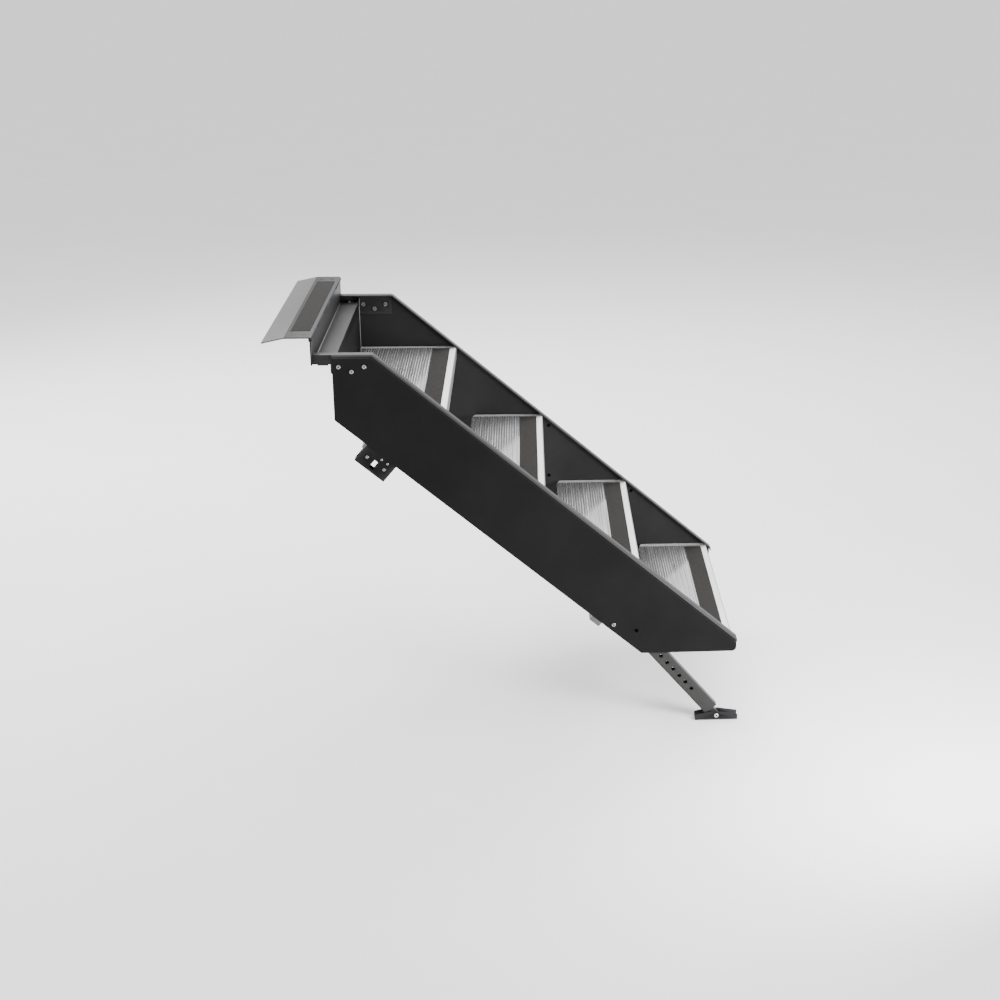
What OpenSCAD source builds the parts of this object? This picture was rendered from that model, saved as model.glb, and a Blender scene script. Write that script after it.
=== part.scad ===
// Fold-up entry stair for a caravan doorway.
// +X points out and down the stair, Y runs across it, Z is up.
// The origin is the middle of the threshold flat, on its underside.

/* [Stair] */
// Height from one tread to the next
rise = 207; // [195:1:220]
// Horizontal distance from one nosing to the next
run = 243; // [230:1:260]
// Height of the threshold above the first tread
first_drop = 202; // [190:1:215]
// Horizontal distance from the middle of the threshold to the first nosing
first_reach = 355; // [340:1:370]
// Overall width across the side panels
stair_w = 662; // [600:1:760]
// Thickness of the folded sheet
sheet = 3; // [2:0.5:4]

/* [Threshold] */
// Width across the stair
threshold_w = 680; // [640:1:780]
// Distance from the middle of the flat back to the bend of the lip
flat_back = 31; // [26:1:40]
// Length of the sloping lip
lip_len = 56; // [40:1:70]
// Slope of the lip below level, degrees
lip_angle = 12; // [5:1:20]
// Width of the grit strip
threshold_grip_w = 48; // [36:1:50]
// Length of the grit strip
threshold_grip_len = 552; // [480:1:570]
// Distance of the grit strip from the front edge of the flat
threshold_grip_in = 9; // [6:1:10]
// Radius of the fixing holes
fix_hole_r = 2.75; // [2:0.25:4]
// Fixing hole spacing along X
fix_pitch_x = 30; // [20:1:34]
// Distance of the fixing holes from the end of the plate
fix_inset = 32; // [20:1:40]

/* [Hinge] */
// Distance from the middle of the flat to the hinge axis
hinge_reach = 32; // [30:1:40]
// Radius of the hinge barrel
knuckle_r = 4; // [3.5:0.25:4.5]
// Radius of the hinge pin
hinge_pin_r = 2.25; // [1.75:0.25:2.5]
// Radial clearance of pins and plungers
pin_clear = 0.05; // [0.02:0.01:0.09]
// Gap between knuckles, and round the barrel
knuckle_gap = 0.5; // [0.4:0.1:1]
// How far the flat reaches over the hinge axis
hood = 2.25; // [1.5:0.25:2.5]
// Radius of the pin's head
hinge_head_r = 3.5; // [3:0.1:3.8]
// Thickness of the pin's head
hinge_head_t = 2; // [1:0.5:3]

/* [Top frame] */
// Drop from the threshold to the ledge
ledge_drop = 68; // [60:1:80]
// Drop from the threshold to the level top of the panels
panel_top_drop = 47; // [44:1:52]
// Spacing of the panel bolts along X
arm_bolt_pitch = 31; // [28:1:34]
// Drop of the middle panel bolt
arm_bolt_v = 12.5; // [8:0.5:16]
// Depth of the upper panel bolts below the panel's top
arm_bolt_depth = 30; // [28:0.5:32]
// Margin of plate round the bolts
arm_margin = 16; // [14:0.5:18]
// Width of the tab under the ledge
ledge_tab_w = 26; // [20:1:30]
// Bolt shank radius
bolt_r = 4; // [3:0.25:5]
// Bolt head radius
bolt_head_r = 5.75; // [5.5:0.25:7]
// Bolt head thickness
bolt_head_t = 3.5; // [3:0.25:6]
// Width of the kick plate's end tabs
kick_tab_w = 4; // [3:1:10]
// Height of the kick plate's ears above and below the ledge
kick_ear_h = 10; // [6:1:14]
// Width of the kick plate's ears
kick_ear_w = 14; // [10:1:18]
// Corner cut of the arm plate
arm_cut = 13; // [8:1:16]

/* [Side panels] */
// How far the arms stand behind the rear edge of the panels
arm_lug = 3.5; // [2:0.5:6]
// Vertical depth of the panel below the line of the nosings
panel_depth = 246; // [230:1:260]
// Length of panel past the last nosing
panel_overhang = 14; // [8:1:20]
// Depth of the panel's toe below the last tread
toe_depth = 42; // [36:1:50]
// Width of the rim flange
flange_w = 26; // [20:1:30]
// Length of the rim flange turned down at the front
rim_turn = 9; // [8:1:14]
// Radius of the lower front corner
toe_r = 14; // [8:1:20]
// Radius of the plugs on the inner face
plug_r = 5; // [4:0.5:6]
// Height of the plugs
plug_h = 2; // [1:0.5:4]
// Distance of the plugs in front of the nosing
plug_ahead = 17; // [14:1:22]
// Depth of the upper plugs below the tread
plug_upper = 36; // [30:1:44]
// Depth of the lower plug below the tread
plug_lower = 190; // [170:1:195]

/* [Treads] */
// Depth of treads two to four
tread_depth = 204; // [195:1:215]
// Depth of the first tread, back to the kick plate
top_tread_depth = 272; // [264:1:280]
// Thickness of the tread plate
tread_t = 4; // [3:0.5:6]
// Height of the nosing
nose_h = 28; // [24:1:34]
// Thickness of the nosing and webs
web_t = 4; // [3:0.5:5]
// Radius of the nosing's upper edge
nose_r = 3; // [2:0.5:3.5]
// Width of the bright nosing in front of the grit strip
nose_w = 18; // [14:1:24]
// Width of the grit strips
grip_w = 48; // [40:1:54]
// Thickness of the grit strips
grip_t = 0.8; // [0.5:0.1:1.5]
// Distance from the grit strip's end to the tread's end
grip_inset = 30; // [20:1:40]
// Spacing of the ribs
rib_pitch = 7; // [5:0.5:9]
// Width of the grooves between ribs
groove_w = 2.6; // [1.5:0.1:3.5]
// Depth of the grooves
groove_d = 1; // [0.5:0.1:1.5]
// Plain border at the tread's ends
end_border = 26; // [12:1:28]
// Plain border at the tread's rear edge
rear_border = 10; // [8:1:18]
// Cut of the rear corners along X
corner_x = 10; // [6:1:14]
// Cut of the rear corners along Y
corner_y = 32; // [20:1:40]
// Distance of the rear web from the rear edge
rear_web = 34; // [30:1:40]
// Distance of the middle web behind the nosing
mid_web = 90; // [84:1:96]
// Gap between a tread's end and the panel
tread_gap = 1; // [0.5:0.5:2]
// Gap between the nosings and the rim flange
nose_clear = 0.4; // [0.3:0.1:1]

/* [Tread angles] */
// Length of each angle
angle_len = 60; // [50:1:66]
// Width of the angle's legs
angle_w = 22; // [18:1:24]
// Distance of an angle from the web in front of it
angle_gap = 8; // [4:1:10]
// Stud radius
stud_r = 3; // [2.5:0.25:4]
// Distance across the corners of the nuts, halved
nut_r = 5.5; // [5:0.25:7]
// Height of the nuts
nut_h = 5; // [4:0.5:6]

/* [Braces and stay brackets] */
// Place of the lower brace along the slope from the first nosing
lower_brace_u = 651; // [630:1:670]
// Width of the lower brace
lower_brace_w = 32; // [24:1:36]
// Place of the upper brace along the slope from the first nosing
upper_brace_u = -104; // [-110:1:-100]
// Width of the upper brace
upper_brace_w = 7; // [5:1:9]
// Height of the braces
brace_h = 34; // [28:1:40]
// How far the braces stand below the panels
brace_out = 14; // [10:1:18]
// Wall of the lower brace
brace_t = 3; // [2:0.5:4]
// Length of a stay bracket along the slope
stay_len = 91; // [80:1:96]
// How far a stay bracket stands below the panel
stay_out = 52; // [46:1:56]
// Height of a stay bracket inside the panel
stay_in = 26; // [20:1:32]
// Width across a stay bracket
stay_w = 26; // [22:1:32]
// Width of the stay slot
slot_w = 14; // [10:1:16]
// Height of the stay slot
slot_h = 24; // [18:1:26]
// Height of the slot above the bracket's base
slot_up = 8; // [5:1:10]
// Distance of the cross bolts from the bracket's ends
stay_bolt_in = 19; // [15:1:22]
// Height of the cross bolts above the bracket's base
stay_bolt_up = 27; // [22:1:30]
// Radius of the cross bolts
stay_bolt_r = 3; // [2.5:0.25:4]
// Radius of the cross bolts' heads
stay_head_r = 4.5; // [4:0.25:6]
// Radius of the bracket's screws
stay_screw_r = 2; // [1.5:0.25:2.5]
// Radius of the screws' heads
stay_screw_head = 3.25; // [3:0.25:4]
// Depth of the screws below the panel's edge
stay_screw_down = 8; // [6:1:10]
// Distance from the bracket's middle to the first screw
stay_screw_first = 6; // [4:1:8]
// Spacing of the screws
stay_screw_pitch = 18; // [14:1:22]

/* [Legs] */
// Slope of the legs below level, degrees
leg_angle = 49.6; // [48:0.1:51]
// Distance of the locking hole behind the last nosing
lock_back = 253; // [250:1:258]
// Height of the locking hole above the last tread
lock_up = 22.5; // [20:0.5:26]
// Outside width of the leg tube
leg_w = 38; // [34:1:40]
// Outside thickness of the leg tube, across the stair
leg_t = 20; // [16:1:24]
// Wall of the leg tube
leg_wall = 2.5; // [2:0.25:3]
// Sliding clearance of the leg in its sleeve
leg_clear = 0.3; // [0.25:0.05:0.5]
// Wall of the sleeve
sleeve_wall = 2.7; // [2:0.1:3.5]
// Length of sleeve above the locking hole
sleeve_up = 110; // [100:1:120]
// Length of sleeve below the locking hole
sleeve_down = 40; // [30:1:44]
// Spacing of the leg holes
hole_pitch = 25.4; // [24:0.1:26]
// Radius of the leg holes
hole_r = 5.25; // [5.15:0.05:6]
// Length of leg above the locking hole
leg_up = 60; // [58:1:62]
// Distance from the locking hole to the foot bolt
leg_reach = 333; // [320:1:345]
// Distance from the end of the tube to the foot bolt
tongue_len = 22; // [20:1:28]
// Length of the tongue's plug inside the tube
plug_len = 30; // [20:1:50]
// Radius of the tongue's end
tongue_r = 7.6; // [7:0.1:8]
// Place of the sleeve bolt along the leg, above the locking hole
sleeve_bolt_up = 53; // [45:1:60]
// Distance of the sleeve bolt from the leg's axis
sleeve_bolt_off = 33; // [31:0.5:34]
// Half size of the sleeve's bolt lug
lug_r = 11; // [9:1:12]

/* [Locking plungers] */
// Radius of the plunger
plunger_r = 5; // [4.5:0.05:5]
// Radius of the plunger's barrel
barrel_r = 10; // [8:0.5:12]
// Length of the plunger's barrel
barrel_len = 22; // [16:1:30]
// Travel of the plunger
plunger_travel = 26; // [24:0.5:27]
// Distance of the parked tip inside the sleeve's wall
tip_in = 1.5; // [1:0.25:2]
// Radius of the pull knob
knob_r = 13; // [10:0.5:16]
// Length of the pull knob
knob_len = 18; // [14:1:24]

/* [Feet] */
// Length of the foot
foot_len = 114; // [100:1:130]
// Thickness of the foot's base and ears
foot_t = 2.5; // [2:0.25:3.5]
// Thickness of the rubber pad
pad_t = 2.5; // [2:0.25:4]
// Height of the foot bolt above the ground
foot_bolt_h = 13.5; // [13:0.25:16]
// Gap between the leg and each ear
ear_gap = 0.5; // [0.4:0.1:1]
// Height of the ears at their peak
ear_peak = 25; // [23:1:28]
// Distance of the peak behind the foot bolt
ear_peak_back = 8; // [0:1:14]
// Height of the ears at the end under the stair
ear_back = 15; // [13:1:20]
// Height of the ears at the front end
ear_front = 15; // [12:1:18]

/* [Hidden] */
$fn = 48;
tiny = 0.01;
slope = atan2(rise, run);
fall = rise / run;
out_y = stair_w / 2;
in_y = out_y - sheet;
last = 3;
steps = [0 : last];

// Hinge
hinge_z = -knuckle_r - knuckle_gap;
knuckle_n = 5;
knuckle_len = threshold_w / knuckle_n;
flat_front = hinge_reach + hood;
riser_x = hinge_reach + sheet / 2;
ledge_z = sheet - ledge_drop;

// Top frame
kick_x = first_reach - top_tread_depth;
panel_x = kick_x - sheet;
lug_x = panel_x - arm_lug;
panel_z = sheet - panel_top_drop;
first_z = sheet - first_drop;
last_x = first_reach + last * run;
last_z = first_z - last * rise;

// Lines of the panel's sloping edges, as heights at x
rim_lift = (sheet + nose_clear) / cos(slope);
function nosing_line(x) = first_z - (x - first_reach) * fall;
function rim_line(x) = nosing_line(x) + rim_lift;
function foot_line(x) = nosing_line(x) - panel_depth;
function x_on(line_at_zero, z) = (line_at_zero - z) / fall;
toe_x = last_x + panel_overhang;
toe_z = last_z - toe_depth;
rim_x = x_on(rim_line(0), panel_z);
heel_x = x_on(foot_line(0), toe_z);
inner_rim = rim_line(0) - sheet / cos(slope);
edge_v = -panel_depth * cos(slope);

// Panel bolts
arm_bolt_x = panel_x + arm_margin + arm_bolt_pitch;
arm_bolt_z = panel_z - arm_bolt_depth;
arm_end = arm_bolt_x + arm_bolt_pitch + arm_margin;
arm_low = arm_bolt_z - arm_bolt_v - arm_margin;
arm_bolts_at = [for (i = [-1 : 1]) [arm_bolt_x + i * arm_bolt_pitch, arm_bolt_z - (i == 0 ? arm_bolt_v : 0)]];
ledge_screw_x = (riser_x + kick_x) / 2;
ledge_screw_y = in_y - sheet - ledge_tab_w / 2;

// Legs
lock_x = last_x - lock_back;
lock_z = last_z + lock_up;
sleeve_w = leg_w + 2 * (leg_clear + sleeve_wall);
sleeve_t = leg_t + 2 * (leg_clear + sleeve_wall);
leg_y = in_y - sleeve_t / 2;
sleeve_in = in_y - sleeve_t;
hole_first = -2;
hole_last = 9;
ground = -foot_bolt_h;
foot_w = leg_t + 2 * (ear_gap + foot_t);
foot_x = lock_x + leg_reach * cos(leg_angle);
foot_z = lock_z - leg_reach * sin(leg_angle);
hole_fit = 0.2;

// Extrudes an X-Z outline from y0 to y1
module across(y0, y1) {
    translate([0, y1, 0])
        rotate([90, 0, 0])
            linear_extrude(y1 - y0)
                children();
}

// A round bar along Y
module rod(x, z, r, y0, y1) {
    translate([x, y0, z])
        rotate([-90, 0, 0])
            cylinder(r = r, h = y1 - y0);
}

// A hexagon bar along Y
module hex_rod(x, z, r, y0, y1) {
    translate([x, y0, z])
        rotate([-90, 0, 0])
            cylinder(r = r, h = y1 - y0, $fn = 6);
}

// A box from one corner to the opposite one
module block(low, high) {
    translate(low)
        cube(high - low);
}

// The right side is the left side mirrored
module right() {
    mirror([0, 1, 0])
        children();
}

module both() {
    children();
    right()
        children();
}

// Frame on the first nosing, with X running down the slope
module slope_frame() {
    translate([first_reach, 0, first_z])
        rotate([0, slope, 0])
            children();
}

// Frame on the left locking hole, with X running down the leg
module leg_frame() {
    translate([lock_x, 0, lock_z])
        rotate([0, leg_angle, 0])
            children();
}

// Frame on the left foot bolt
module foot_frame() {
    translate([foot_x, leg_y, foot_z])
        children();
}

module knuckle(i) {
    y0 = -threshold_w / 2 + i * knuckle_len;
    rod(hinge_reach, hinge_z, knuckle_r, y0 + knuckle_gap / 2, y0 + knuckle_len - knuckle_gap / 2);
}

module hinge_bore() {
    rod(hinge_reach, hinge_z, hinge_pin_r + pin_clear, -threshold_w, threshold_w);
}

module threshold_outline() {
    c = cos(lip_angle);
    s = sin(lip_angle);
    tip = [-flat_back - lip_len * c, sheet - lip_len * s];
    polygon([[flat_front, 0], [flat_front, sheet], [-flat_back, sheet], tip,
        tip + sheet * [s, -c], [-flat_back + sheet * tan(lip_angle / 2), 0]]);
}

module threshold_plate() {
    half = threshold_w / 2;
    color("#4a4a4c")
        difference() {
            union() {
                across(-half, half)
                    threshold_outline();
                for (i = [0 : 2 : knuckle_n - 1]) {
                    y0 = -half + i * knuckle_len + knuckle_gap / 2;
                    block([hinge_reach - knuckle_r, y0, hinge_z],
                        [hinge_reach, y0 + knuckle_len - knuckle_gap, tiny]);
                    knuckle(i);
                }
            }
            hinge_bore();
            for (sx = [-1, 1], sy = [-1, 1])
                translate([sx * fix_pitch_x / 2, sy * (half - fix_inset), -sheet])
                    cylinder(r = fix_hole_r, h = 3 * sheet);
        }
}

module threshold_grip() {
    front = flat_front - threshold_grip_in;
    color("#1f1f20")
        block([front - threshold_grip_w, -threshold_grip_len / 2, sheet],
            [front, threshold_grip_len / 2, sheet + grip_t]);
}

module hinge_pin() {
    color("silver") {
        rod(hinge_reach, hinge_z, hinge_pin_r, -threshold_w / 2, threshold_w / 2);
        both()
            rod(hinge_reach, hinge_z, hinge_head_r, threshold_w / 2, threshold_w / 2 + hinge_head_t);
    }
}

module hinge_riser() {
    half = threshold_w / 2;
    under_barrel = hinge_z - knuckle_r - knuckle_gap;
    color("#3a3a3c")
        difference() {
            union() {
                block([riser_x - sheet, -half, ledge_z - sheet], [riser_x, half, under_barrel]);
                block([riser_x - sheet, sheet - in_y, ledge_z - sheet], [kick_x, in_y - sheet, ledge_z]);
                for (i = [1 : 2 : knuckle_n - 1]) {
                    y0 = -half + i * knuckle_len + knuckle_gap / 2;
                    block([riser_x - sheet, y0, under_barrel - tiny],
                        [riser_x, y0 + knuckle_len - knuckle_gap, hinge_z]);
                    knuckle(i);
                }
            }
            hinge_bore();
            both()
                translate([ledge_screw_x, ledge_screw_y, ledge_z - 2 * sheet])
                    cylinder(r = stud_r + hole_fit, h = 3 * sheet);
        }
}

module kick_plate() {
    color("#333335") {
        block([kick_x - sheet, sheet - in_y, first_z - tread_t], [kick_x, in_y - sheet, ledge_z - sheet]);
        both() {
            block([kick_x - sheet, in_y - sheet - tiny, first_z],
                [kick_x + kick_tab_w, in_y, arm_low - sheet]);
            block([kick_x - tiny, in_y - sheet - kick_ear_w, ledge_z - kick_ear_h],
                [kick_x + sheet, in_y - sheet, ledge_z - sheet]);
            block([kick_x, in_y - sheet - kick_ear_w, ledge_z - sheet - tiny],
                [kick_x + sheet, in_y - sheet, ledge_z + kick_ear_h]);
        }
    }
}

module ledge_screws() {
    color("silver")
        both()
            translate([ledge_screw_x, ledge_screw_y, 0]) {
                translate([0, 0, ledge_z])
                    cylinder(r = nut_r, h = grip_t + sheet);
                translate([0, 0, ledge_z - 2 * sheet])
                    cylinder(r = stud_r, h = 2 * sheet + tiny);
            }
}

module arm_outline() {
    polygon([[riser_x, ledge_z - sheet], [riser_x, panel_z], [panel_x, panel_z], [panel_x, panel_z - sheet],
        [arm_end, panel_z - sheet], [arm_end, arm_low],
        [lug_x + arm_cut, arm_low], [lug_x, arm_low + arm_cut], [lug_x, ledge_z - sheet]]);
}

module arm_left() {
    low = ledge_z - 2 * sheet;
    color("#2b2b2d") {
        difference() {
            union() {
                across(in_y - sheet, in_y)
                    arm_outline();
                block([riser_x, out_y - flange_w, panel_z - sheet], [panel_x, in_y, panel_z]);
            }
            for (p = arm_bolts_at)
                rod(p[0], p[1], bolt_r + hole_fit, in_y - 2 * sheet, out_y);
        }
        difference() {
            block([ledge_screw_x - ledge_tab_w / 2, in_y - sheet - ledge_tab_w, low],
                [ledge_screw_x + ledge_tab_w / 2, in_y, low + sheet]);
            translate([ledge_screw_x, ledge_screw_y, low - sheet])
                cylinder(r = stud_r + hole_fit, h = 3 * sheet);
        }
    }
}

module arm_right() {
    right()
        arm_left();
}

module arm_bolts() {
    color("silver")
        both()
            for (p = arm_bolts_at) {
                rod(p[0], p[1], bolt_head_r, out_y, out_y + bolt_head_t);
                rod(p[0], p[1], bolt_r, in_y - sheet - bolt_head_t, out_y + tiny);
            }
}

module arm_nuts() {
    color("silver")
        both()
            for (p = arm_bolts_at)
                difference() {
                    hex_rod(p[0], p[1], bolt_head_r, in_y - sheet - bolt_head_t, in_y - sheet);
                    rod(p[0], p[1], bolt_r + hole_fit / 2, in_y - 3 * bolt_head_t, in_y);
                }
}

module panel_outline() {
    polygon([[panel_x, foot_line(panel_x)], [panel_x, panel_z], [rim_x, panel_z], [toe_x, rim_line(toe_x)],
        [toe_x, toe_z + toe_r], [toe_x - toe_r, toe_z], [heel_x, toe_z]]);
    translate([toe_x - toe_r, toe_z + toe_r])
        circle(toe_r);
}

module rim_outline() {
    polygon([[panel_x, panel_z - sheet], [panel_x, panel_z], [rim_x, panel_z], [toe_x, rim_line(toe_x)],
        [toe_x, rim_line(toe_x) - rim_turn], [toe_x - sheet, rim_line(toe_x) - rim_turn],
        [toe_x - sheet, inner_rim - (toe_x - sheet) * fall],
        [x_on(inner_rim, panel_z - sheet), panel_z - sheet]]);
}

module side_panel_left() {
    color("#232325")
        difference() {
            union() {
                across(in_y, out_y)
                    panel_outline();
                across(out_y - flange_w, in_y + tiny)
                    rim_outline();
            }
            for (p = arm_bolts_at)
                rod(p[0], p[1], bolt_r + hole_fit, in_y - sheet, out_y + sheet);
            rod(lock_x, lock_z, hole_r, in_y - sheet, out_y + sheet);
            leg_frame()
                rod(-sleeve_bolt_up, -sleeve_bolt_off, bolt_r + hole_fit, in_y - sheet, out_y + sheet);
        }
}

module side_panel_right() {
    right()
        side_panel_left();
}

function depth_of(i) = i == 0 ? top_tread_depth : tread_depth;
groove_start = nose_w + grip_w + rib_pitch / 2;

module tread_outline(depth) {
    translate([-depth, -tread_t])
        square([depth - nose_r, tread_t]);
    translate([-web_t, -nose_h])
        square([web_t, nose_h - nose_r]);
    translate([-nose_r, -nose_r])
        circle(nose_r);
    for (x = [mid_web, depth - rear_web])
        translate([-x - web_t / 2, -nose_h])
            square([web_t, nose_h - tread_t / 2]);
}

module tread(i) {
    depth = depth_of(i);
    half = in_y - tread_gap;
    color("#d9dadc")
        translate([first_reach + i * run, 0, first_z - i * rise])
            difference() {
                across(-half, half)
                    tread_outline(depth);
                for (x = [groove_start : rib_pitch : depth - rear_border])
                    block([-x - groove_w, end_border - half, -groove_d], [-x, half - end_border, sheet]);
                if (i > 0)
                    both()
                        translate([-depth, half, -nose_h])
                            linear_extrude(2 * nose_h)
                                polygon([[-sheet, sheet], [-sheet, -corner_y], [0, -corner_y],
                                    [corner_x, 0], [corner_x, sheet]]);
            }
}

module tread_grip(i) {
    half = in_y - tread_gap - grip_inset;
    color("#2a2a2b")
        translate([first_reach + i * run, 0, first_z - i * rise])
            block([-nose_w - grip_w, -half, 0], [-nose_w, half, grip_t]);
}

module tread_1() {
    tread(0);
}

module tread_2() {
    tread(1);
}

module tread_3() {
    tread(2);
}

module tread_4() {
    tread(3);
}

module tread_grip_1() {
    tread_grip(0);
}

module tread_grip_2() {
    tread_grip(1);
}

module tread_grip_3() {
    tread_grip(2);
}

module tread_grip_4() {
    tread_grip(3);
}

// Front end of each tread angle, measured back from the nosing
angle_fronts = [web_t + angle_gap, mid_web + web_t / 2 + angle_gap];

// Stands its children at each tread angle of the left side
module at_angles() {
    for (i = steps, front = angle_fronts)
        translate([first_reach + i * run - front - angle_len, in_y, first_z - i * rise - tread_t])
            children();
}

module tread_brackets_left() {
    color("#8f9092")
        at_angles()
            difference() {
                union() {
                    block([0, -sheet, -angle_w], [angle_len, 0, 0]);
                    block([0, -angle_w, -sheet], [angle_len, tiny - sheet, 0]);
                }
                rod(angle_len / 2, -angle_w / 2 - sheet / 2, stud_r + hole_fit, -2 * sheet, sheet);
            }
}

module tread_brackets_right() {
    right()
        tread_brackets_left();
}

module bracket_nuts_left() {
    color("silver")
        at_angles() {
            hex_rod(angle_len / 2, -angle_w / 2 - sheet / 2, nut_r, -sheet - nut_h, -sheet);
            rod(angle_len / 2, -angle_w / 2 - sheet / 2, stud_r, -sheet - nut_h - stud_r, 0);
        }
}

module bracket_nuts_right() {
    right()
        bracket_nuts_left();
}

module upper_brace() {
    v = edge_v - brace_out;
    color("#c4c5c7")
        slope_frame()
            translate([upper_brace_u, 0, v])
                block([-upper_brace_w / 2, -in_y, 0], [upper_brace_w / 2, in_y, brace_h]);
}

module lower_brace() {
    v = edge_v - brace_out;
    u = lower_brace_w / 2;
    color("#c4c5c7")
        slope_frame()
            translate([lower_brace_u, 0, v])
                difference() {
                    block([-u, -in_y, 0], [u, in_y, brace_h]);
                    block([brace_t - u, brace_t - in_y, brace_t], [u - brace_t, in_y - brace_t, 2 * brace_h]);
                }
}

// Frame on the lower upper-end corner of the left stay bracket
module stay_frame() {
    slope_frame()
        translate([upper_brace_u + upper_brace_w / 2, in_y, edge_v - stay_out])
            children();
}

stay_bolts_at = [stay_bolt_in, stay_len - stay_bolt_in];
stay_screws_at = [for (i = [0, 1]) stay_len / 2 + stay_screw_first + i * stay_screw_pitch];

module stay_bracket_left() {
    high = stay_out + stay_in;
    color("#2b2b2d")
        stay_frame()
            difference() {
                block([0, -stay_w, 0], [stay_len, 0, high]);
                block([-sheet, sheet - stay_w, sheet], [stay_len + sheet, -sheet, 2 * high]);
                block([(stay_len - slot_w) / 2, -2 * stay_w, slot_up],
                    [(stay_len + slot_w) / 2, stay_w, slot_up + slot_h]);
                for (u = stay_bolts_at)
                    rod(u, stay_bolt_up, stay_bolt_r + hole_fit, -2 * stay_w, stay_w);
                for (u = stay_screws_at)
                    rod(u, stay_out - stay_screw_down, stay_screw_r + hole_fit, -2 * sheet, sheet);
            }
}

module stay_bracket_right() {
    right()
        stay_bracket_left();
}

module stay_bolts() {
    color("silver")
        both()
            stay_frame()
                for (u = stay_bolts_at) {
                    rod(u, stay_bolt_up, stay_bolt_r, -stay_w - bolt_head_t, tiny);
                    rod(u, stay_bolt_up, stay_head_r, 0, stay_bolt_r);
                    hex_rod(u, stay_bolt_up, nut_r, -stay_w - bolt_head_t, -stay_w);
                }
}

module stay_screws() {
    color("silver")
        both()
            stay_frame()
                for (u = stay_screws_at) {
                    rod(u, stay_out - stay_screw_down, stay_screw_r, -sheet - stay_screw_r, tiny);
                    rod(u, stay_out - stay_screw_down, stay_screw_head, 0, stay_screw_r);
                }
}

module panel_plugs() {
    color("#111112")
        both()
            for (p = [[1, plug_upper], [1, plug_lower], [2, plug_upper]])
                translate([first_reach + p[0] * run + plug_ahead, 0, first_z - p[0] * rise - p[1]])
                    rod(0, 0, plug_r, in_y - plug_h, in_y);
}

module leg_sleeve_left() {
    half = sleeve_w / 2;
    core = half - sleeve_wall;
    core_y = sleeve_t / 2 - sleeve_wall;
    color("#2b2b2d")
        leg_frame()
            difference() {
                union() {
                    block([-sleeve_up, sleeve_in, -half], [sleeve_down, in_y, half]);
                    block([-sleeve_bolt_up - lug_r, in_y - sheet, -sleeve_bolt_off - lug_r],
                        [-sleeve_bolt_up + lug_r, in_y, tiny - half]);
                }
                block([-2 * sleeve_up, leg_y - core_y, -core], [2 * sleeve_up, leg_y + core_y, core]);
                rod(0, 0, hole_r, sleeve_in - sheet, in_y + sheet);
                rod(-sleeve_bolt_up, -sleeve_bolt_off, bolt_r + hole_fit, in_y - 2 * sheet, in_y + sheet);
            }
}

module leg_sleeve_right() {
    right()
        leg_sleeve_left();
}

module sleeve_bolts() {
    nut_y = in_y - sheet - bolt_head_t;
    color("silver")
        both()
            leg_frame()
                translate([-sleeve_bolt_up, 0, -sleeve_bolt_off]) {
                    rod(0, 0, bolt_head_r, out_y, out_y + bolt_head_t);
                    rod(0, 0, bolt_r, nut_y, out_y + tiny);
                    hex_rod(0, 0, bolt_head_r, nut_y, in_y - sheet);
                }
}

module plunger_barrel_left() {
    color("#6f7073")
        leg_frame()
            difference() {
                rod(0, 0, barrel_r, sleeve_in - barrel_len, sleeve_in);
                rod(0, 0, plunger_r + pin_clear, sleeve_in - 2 * barrel_len, in_y);
            }
}

module plunger_barrel_right() {
    right()
        plunger_barrel_left();
}

knob_y = sleeve_in - barrel_len - plunger_travel - sheet;

module plunger_left() {
    color("silver")
        leg_frame()
            rod(0, 0, plunger_r, knob_y, sleeve_in + tip_in);
}

module plunger_right() {
    right()
        plunger_left();
}

module pull_knob_left() {
    color("#161617")
        leg_frame()
            rod(0, 0, knob_r, knob_y - knob_len, knob_y);
}

module pull_knob_right() {
    right()
        pull_knob_left();
}

module leg_left() {
    half = leg_w / 2;
    core = half - leg_wall;
    core_y = leg_t / 2 - leg_wall;
    foot_end = leg_reach - tongue_len;
    color("#3f4042")
        leg_frame()
            translate([0, leg_y, 0])
                difference() {
                    block([-leg_up, -leg_t / 2, -half], [foot_end, leg_t / 2, half]);
                    block([-2 * leg_up, -core_y, -core], [2 * foot_end, core_y, core]);
                    for (k = [hole_first : hole_last])
                        rod(k * hole_pitch, 0, hole_r, -leg_w, leg_w);
                }
}

module leg_right() {
    right()
        leg_left();
}

module leg_tongue_left() {
    core = leg_w / 2 - leg_wall;
    core_y = leg_t / 2 - leg_wall;
    foot_end = leg_reach - tongue_len;
    color("#3f4042")
        leg_frame()
            translate([0, leg_y, 0])
                difference() {
                    union() {
                        block([foot_end - plug_len, -core_y, -core], [foot_end, core_y, core]);
                        block([foot_end - tiny, -core_y, -tongue_r], [leg_reach, core_y, tongue_r]);
                        rod(leg_reach, 0, tongue_r, -core_y, core_y);
                    }
                    rod(leg_reach, 0, bolt_r + pin_clear, -leg_w, leg_w);
                }
}

module leg_tongue_right() {
    right()
        leg_tongue_left();
}

module ear_outline() {
    end = foot_len / 2;
    polygon([[-end, ground + pad_t], [end, ground + pad_t], [end, ground + ear_front],
        [-ear_peak_back, ground + ear_peak], [-end, ground + ear_back]]);
}

module foot_left() {
    half = foot_w / 2;
    base = ground + pad_t;
    color("#343537")
        foot_frame()
            difference() {
                union() {
                    block([-foot_len / 2, -half, base], [foot_len / 2, half, base + foot_t]);
                    for (y0 = [-half, half - foot_t])
                        across(y0, y0 + foot_t)
                            ear_outline();
                }
                rod(0, 0, bolt_r + pin_clear, -foot_w, foot_w);
            }
}

module foot_right() {
    right()
        foot_left();
}

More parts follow.
